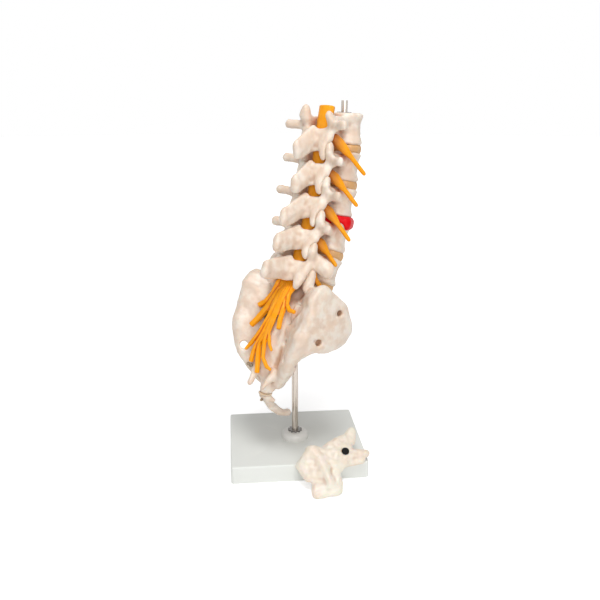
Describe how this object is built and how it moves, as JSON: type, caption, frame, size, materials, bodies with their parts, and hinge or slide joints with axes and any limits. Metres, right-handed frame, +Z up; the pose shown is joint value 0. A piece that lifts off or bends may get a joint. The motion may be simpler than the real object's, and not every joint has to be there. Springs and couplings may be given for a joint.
{
  "type": "lumbar spine anatomy model",
  "caption": "Life-size lumbar spine with sacrum, coccyx, discs, nerve roots and a loose sacral crest, carried by a bent rod on a flat stand.",
  "frame": {"origin": "centre of the base plate's underside, under the foot of the rod", "axes": "+Z up; the plate's front long edge, with the bare maker's corner on its left, faces -Y; +X to the viewer's right"},
  "size_m": [0.1348, 0.157, 0.3437],
  "materials": {
    "bone": "satin, cast cream plastic",
    "disc": "satin, flexible plastic",
    "bulging_disc": "glossy, flexible plastic",
    "nerve": "glossy, soft plastic",
    "base": "smooth, white plastic",
    "rod": "polished",
    "washer": "blackened spring steel",
    "fastener": "plain steel",
    "magnet": "dark"
  },
  "bodies": {
    "root": {"base_plate": "base", "rod_collar": "base", "lower_lock_washer": "washer", "support_rod": "rod", "upper_lock_washer": "washer", "vertebra_l1": "bone", "vertebra_l2": "bone", "vertebra_l3": "bone", "vertebra_l4": "bone", "vertebra_l5": "bone", "disc_l1_l2": "disc", "disc_l2_l3": "disc", "disc_l3_l4": "bulging_disc", "disc_l4_l5": "disc", "disc_l5_s1": "disc", "sacrum": "bone", "crest_catch": "fastener", "sacral_crest": "bone", "crest_magnet": "magnet", "coccyx_disc": "disc", "coccyx": "bone", "coccyx_screw": "fastener", "dura_mater": "nerve", "cauda_equina": "nerve", "nerve_l1_right": "nerve", "nerve_l2_right": "nerve", "nerve_l3_right": "nerve", "nerve_l4_right": "nerve", "nerve_l5_right": "nerve", "nerve_l1_left": "nerve", "nerve_l2_left": "nerve", "nerve_l3_left": "nerve", "nerve_l4_left": "nerve", "nerve_l5_left": "nerve"}
  },
  "joints": []
}
